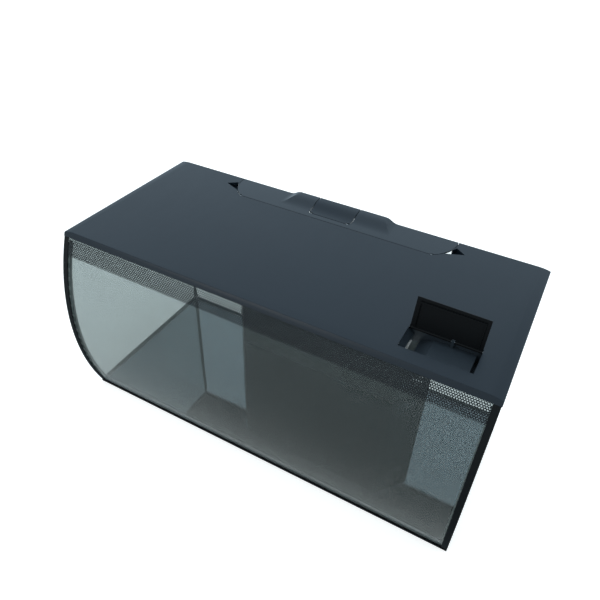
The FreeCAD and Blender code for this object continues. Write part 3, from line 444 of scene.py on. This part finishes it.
def makeHoneycomb():
    # a flat net of hexagonal bars, wrapped round the bow
    low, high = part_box("honeycomb_band")
    pitch, width = honeycomb["pitch"], high.x - low.x
    start = math.asin((low.z - bowCentre.z) / bowRadius)
    height = bowRadius * (math.asin((high.z - bowCentre.z) / bowRadius) - start)
    cellRadius = pitch / math.sqrt(3)
    columns, rows = round(width / pitch) + 1, int((height - 2 * cellRadius) / (1.5 * cellRadius)) + 1
    bm = bmesh.new()
    bmesh.ops.create_circle(bm, cap_ends=True, radius=cellRadius, segments=6)
    bmesh.ops.inset_individual(bm, faces=bm.faces[:], thickness=honeycomb["bar"] / 2, use_even_offset=True)
    bmesh.ops.delete(bm, geom=[min(bm.faces, key=lambda f: f.calc_center_median().length)], context="FACES")
    bmesh.ops.translate(bm, verts=bm.verts, vec=(low.x, cellRadius, 0))
    cell = everything(bm)
    for column in range(1, columns):
        repeated(bm, cell, (column * pitch, 0, 0))
    line = everything(bm)
    for row in range(1, rows):
        repeated(bm, line, ((row % 2) * pitch / 2, row * 1.5 * cellRadius, 0))
    bmesh.ops.remove_doubles(bm, verts=bm.verts, dist=weld["coarse"])
    for side in (low.x, high.x):
        bmesh.ops.bisect_plane(bm, geom=everything(bm), plane_co=(side, 0, 0),
                               plane_no=(math.copysign(1.0, side), 0, 0), clear_outer=True)
    reach = bowRadius + honeycomb["lift"]
    for v in bm.verts:
        turn = start + v.co.y / bowRadius
        v.co = (v.co.x, bowCentre.y - reach * math.cos(turn), bowCentre.z + reach * math.sin(turn))
    bmesh.ops.recalc_face_normals(bm, faces=bm.faces)
    if sum(face.normal.y for face in bm.faces) > 0:
        bmesh.ops.reverse_faces(bm, faces=bm.faces)
    net = addPiece("honeycombNet", bm, "honeycomb_band", smooth=False)
    skin = net.modifiers.new("skin", "SOLIDIFY")
    skin.thickness, skin.offset = honeycomb["skin"], 1.0


makeHoneycomb()
print("honeycomb band made")

# rigid pieces
easing = {"flat": 0.4, "crease": 24.0, "sharp": 32.0, "segments": 2}       # angles in degrees
edgeEasing = {      # width in metres
    "front_glass": 0.0006, "rear_glass": 0.0006, "left_side_glass": 0.0006, "right_side_glass": 0.0006,
    "bottom_glass": 0.0006, "base_frame": 0.0005, "left_edge_trim": 0.0003, "right_edge_trim": 0.0003,
    "glass_seams": 0.0, "lid_shell": 0.0003, "rear_flap": 0.00025, "cable_tab": 0.00025,
    "feed_flap": 0.0003, "feed_tray": 0.0003, "filter_housing": 0.0005,
    "left_intake_grille": 0.0004, "right_intake_grille": 0.0004, "left_baffle": 0.0004,
    "right_baffle": 0.0004, "left_media_basket": 0.0004, "right_media_basket": 0.0004,
    "left_foam_caddy": 0.0004, "right_foam_caddy": 0.0004, "lamp_housing": 0.0004,
    "lamp_end_caps": 0.0005, "lamp_lens": 0.0003, "led_board": 0.0002, "led_chips": 0.0002,
    "pump_body": 0.0006, "pump_cover": 0.0005, "impeller": 0.0002, "outlet_manifold": 0.0006,
    "left_nozzle_socket": 0.0003, "right_nozzle_socket": 0.0003, "left_nozzle_ring": 0.0002,
    "right_nozzle_ring": 0.0002,
}


def makeEased(node, width):
    # the node's own shape, welded, with its flat faces whole and its sharp edges eased
    words = node.split("_")
    name = words[0] + "".join(word.capitalize() for word in words[1:]) + "Made"
    bm = bmesh.new()
    bm.from_mesh(frame["nodes"][node].data)
    bmesh.ops.remove_doubles(bm, verts=bm.verts, dist=weld["fine"])
    bmesh.ops.dissolve_limit(bm, angle_limit=math.radians(easing["flat"]), verts=bm.verts, edges=bm.edges)
    crease = math.radians(easing["crease"])
    for edge in bm.edges:
        edge.smooth = len(edge.link_faces) == 2 and edge.calc_face_angle(0.0) < crease
    piece = addPiece(name, bm, node)
    if width:
        bevel = piece.modifiers.new("ease", "BEVEL")
        bevel.width, bevel.segments = width, easing["segments"]
        bevel.limit_method, bevel.angle_limit = "ANGLE", math.radians(easing["sharp"])
        bevel.harden_normals = True
        bevel.use_clamp_overlap = True


for node, width in edgeEasing.items():
    makeEased(node, width)
print("rigid pieces eased:", len(edgeEasing))


# soft pieces
def slab(low, high, inset, edge, segments=3):
    # a rounded block inside a box
    size = high - low - Vector((2, 2, 2)) * inset
    bm = bmesh.new()
    bmesh.ops.create_cube(bm, size=1.0)
    bmesh.ops.scale(bm, verts=bm.verts, vec=size)
    bmesh.ops.bevel(bm, geom=bm.edges[:], offset=edge, segments=segments, profile=0.5, affect="EDGES",
                    material=-1)
    bmesh.ops.translate(bm, verts=bm.verts, vec=(low + high) / 2)
    return bm


def cutCells(bm, low, high, cell, axes):
    # cuts right through, so that the surface has cells to move
    for axis in axes:
        along = Vector([1.0 if i == axis else 0.0 for i in range(3)])
        count = max(1, round((high[axis] - low[axis]) / cell))
        for step in range(1, count):
            bmesh.ops.bisect_plane(bm, geom=everything(bm), dist=weld["fine"],
                                   plane_co=low + (high - low) * (step / count), plane_no=along)


foamBlock = {"edge": 0.0025, "cell": 0.0045, "pits": 0.0009, "grain": 190.0, "waist": 0.0011}


def makeFoam(node, name):
    # cut foam: torn pores at the surface and sides that pull in a little where the block is gripped
    low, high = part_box(node)
    bm = slab(low, high, 0.0, foamBlock["edge"])
    cutCells(bm, low, high, foamBlock["cell"], (0, 1, 2))
    bmesh.ops.remove_doubles(bm, verts=bm.verts, dist=weld["coarse"])
    bm.normal_update()
    middle, half = (low + high) / 2, (high - low) / 2
    for v in bm.verts:
        away = Vector([(v.co[i] - middle[i]) / half[i] for i in range(3)])
        waist = foamBlock["waist"] * (1 - away.z ** 2)
        pit = foamBlock["pits"] * (0.5 + 0.5 * noise.noise(v.co * foamBlock["grain"]))
        v.co -= v.normal * (pit + waist)
    foam = addPiece(name, bm, node)


for side in ("left", "right"):
    makeFoam(side + "_foam_block", side + "FoamBlock")
print("foam blocks cut")

carbonBag = {"inset": 0.0075, "edge": 0.010, "voxel": 0.0045, "pressure": 4.0, "quality": 6, "frames": 20,
             "cap": 0.0060, "relax": 0.4, "lumps": 0.0010, "granules": 260.0, "hem": 0.0022,
             "hemWidth": 0.0016, "stitch": 0.0040, "pucker": 0.25}


def inflated(piece):
    # the bag swells against its own cloth, with no weight on it
    cloth = piece.modifiers.new("fill", "CLOTH")
    cloth.settings.use_pressure = True
    cloth.settings.uniform_pressure_force = carbonBag["pressure"]
    cloth.settings.effector_weights.gravity = 0.0
    cloth.settings.quality = carbonBag["quality"]
    rest = [v.co.copy() for v in piece.data.vertices]
    for step in range(1, carbonBag["frames"] + 1):
        scene.frame_set(step)
    posed = piece.evaluated_get(bpy.context.evaluated_depsgraph_get()).to_mesh()
    moved = [v.co.copy() for v in posed.vertices]
    piece.modifiers.remove(cloth)
    for v, before, after in zip(piece.data.vertices, rest, moved):
        step = after - before
        if step.length > carbonBag["cap"]:
            step *= carbonBag["cap"] / step.length
        v.co = before + step
    scene.frame_set(1)


def bagMesh(node):
    # a filled bag with a sewn hem round its middle and the granules showing through
    low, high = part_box(node)
    middle = (low + high) / 2
    form = placed("bagForm", slab(low, high, carbonBag["inset"], carbonBag["edge"]))
    remesh = form.modifiers.new("remesh", "REMESH")
    remesh.mode, remesh.voxel_size = "VOXEL", carbonBag["voxel"]
    shape = bpy.data.meshes.new_from_object(form.evaluated_get(bpy.context.evaluated_depsgraph_get()))
    form.modifiers.remove(remesh)
    form.data = shape
    inflated(form)
    bm = bmesh.new()
    bm.from_mesh(form.data)
    bpy.data.objects.remove(form)
    bmesh.ops.smooth_vert(bm, verts=bm.verts, factor=carbonBag["relax"], use_axis_x=True, use_axis_y=True,
                          use_axis_z=True)
    bmesh.ops.bisect_plane(bm, geom=everything(bm), dist=weld["coarse"], plane_co=middle, plane_no=(0, 0, 1))
    bm.normal_update()
    pucker = carbonBag["pucker"]
    for v in bm.verts:
        inHem = abs(v.co.z - middle.z) < carbonBag["hemWidth"]
        v.co += v.normal * (carbonBag["lumps"] * noise.noise(v.co * carbonBag["granules"]))
        if inHem:
            away = Vector((v.co.x - middle.x, v.co.y - middle.y, 0)).normalized()
            pull = 1 - pucker + pucker * math.cos((v.co.x + v.co.y) / carbonBag["stitch"] * 2 * math.pi)
            v.co += away * carbonBag["hem"] * pull
    for v in bm.verts:      # never past the space it lies in
        v.co = Vector([min(max(v.co[i], low[i]), high[i]) for i in range(3)])
    bmesh.ops.recalc_face_normals(bm, faces=bm.faces)
    return bm


def makeBags():
    bm = bagMesh("right_carbon_bag")
    twin = bm.copy()
    bmesh.ops.scale(twin, verts=twin.verts, vec=(-1, 1, 1))
    bmesh.ops.recalc_face_normals(twin, faces=twin.faces)
    for side, form in (("right", bm), ("left", twin)):
        bag = addPiece(side + "CarbonBag", form, side + "_carbon_bag")
        even = bag.modifiers.new("even", "SUBSURF")
        even.levels = even.render_levels = 1


makeBags()
print("carbon bags filled")

levellingMat = {"edge": 0.0006, "under": 0.00015, "cell": 0.016, "dents": 0.00012, "grain": 60.0}


def makeMat():
    # a cut sheet of closed-cell foam, pressed flat by the pane on it
    low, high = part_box("levelling_mat")
    high = Vector((high.x, high.y, high.z - levellingMat["under"]))
    bm = slab(low, high, 0.0, levellingMat["edge"], 2)
    cutCells(bm, low, high, levellingMat["cell"], (0, 1))
    for v in bm.verts:
        if v.co.z > high.z - weld["coarse"]:
            v.co.z -= levellingMat["dents"] * (0.5 + 0.5 * noise.noise(v.co * levellingMat["grain"]))
    mat = addPiece("levellingMatFoam", bm, "levelling_mat")


makeMat()
print("levelling mat laid")

# floor, lights and camera
paperFloor = {"half": 9.0, "under": 0.0002, "colour": rgb(0.90, 0.885, 0.87), "glow": 0.64,
              "glowColour": rgb(1.0, 0.985, 0.97)}


def makeFloor():
    bm = bmesh.new()
    bmesh.ops.create_grid(bm, x_segments=1, y_segments=1, size=paperFloor["half"])
    bmesh.ops.translate(bm, verts=bm.verts, vec=(0, 0, cadBox[0].z - paperFloor["under"]))
    floor = placed("floor", bm)
    paper = Finish("paper", Base_Color=paperFloor["colour"], Roughness=0.9,
                   Emission_Color=paperFloor["glowColour"], Emission_Strength=paperFloor["glow"])
    floor.data.materials.append(paper.material)
    floor.visible_glossy = False        # the glass mirrors the room, not the bright paper


room = {"window": (-0.42, 0.78, 0.42), "windowEdge": (-0.15, 0.90), "windowColour": rgb(0.68, 0.86, 1.00),
        "fade": (-1.0, -0.05), "low": rgb(0.06, 0.08, 0.09), "high": rgb(0.44, 0.53, 0.57)}
lamps = {"topLight": {"spot": (-0.6, 0.2, 3.0), "size": 2.4, "power": 17.0},
         "sideLight": {"spot": (2.6, 0.4, 1.5), "size": 1.2, "power": 6.0},
         "frontLight": {"spot": (-1.0, -2.4, 1.5), "size": 1.4, "power": 12.0}}
lampTarget = Vector((0, 0, 0.2))


def makeLight():
    # a wide soft window behind the tank on the left, and a dim room
    world = bpy.data.worlds.new("studio")
    world.use_nodes = True
    sky = Nodes(world.node_tree)
    heading = sky.node("ShaderNodeTexCoord")
    facing = sky.node("ShaderNodeVectorMath", {"operation": "DOT_PRODUCT"},
                      {0: heading, 1: Vector(room["window"]).normalized()}, 1)
    height = sky.node("ShaderNodeSeparateXYZ", values={0: heading}, out=2)
    share = sky.eased(facing, *room["windowEdge"])
    walls = sky.mix(sky.eased(height, *room["fade"]), room["low"], room["high"])
    sky.feed(world.node_tree.nodes["Background"].inputs["Color"],
             sky.mix(share, walls, room["windowColour"]))
    scene.world = world
    for name, lamp in lamps.items():
        light = bpy.data.lights.new(name, "AREA")
        light.size, light.energy = lamp["size"], lamp["power"]
        holder = bpy.data.objects.new(name, light)
        holder.location = lamp["spot"]
        holder.visible_transmission = False
        holder.visible_glossy = name == "frontLight"
        aim = lampTarget - Vector(lamp["spot"])
        holder.rotation_euler = aim.to_track_quat("-Z", "Y").to_euler()
        scene.collection.objects.link(holder)


# metres, degrees, and millimetres for the lens
cameraPlace = {"eye": (0.4001, -0.7599, 0.9880), "heading": 27.16, "down": 38.74, "roll": 2.63,
               "lens": 34.56, "sensor": 36.0}


def makeCamera():
    lens = bpy.data.cameras.new("camera")
    lens.sensor_width, lens.lens = cameraPlace["sensor"], cameraPlace["lens"]
    camera = bpy.data.objects.new("camera", lens)
    turn = (Matrix.Rotation(math.radians(cameraPlace["heading"]), 4, "Z")
            @ Matrix.Rotation(math.radians(90 - cameraPlace["down"]), 4, "X")
            @ Matrix.Rotation(math.radians(cameraPlace["roll"]), 4, "Z"))
    camera.matrix_world = Matrix.Translation(cameraPlace["eye"]) @ turn
    scene.collection.objects.link(camera)
    scene.camera = camera


makeFloor()
makeLight()
makeCamera()
scene.view_settings.view_transform = "Standard"
print("studio ready")
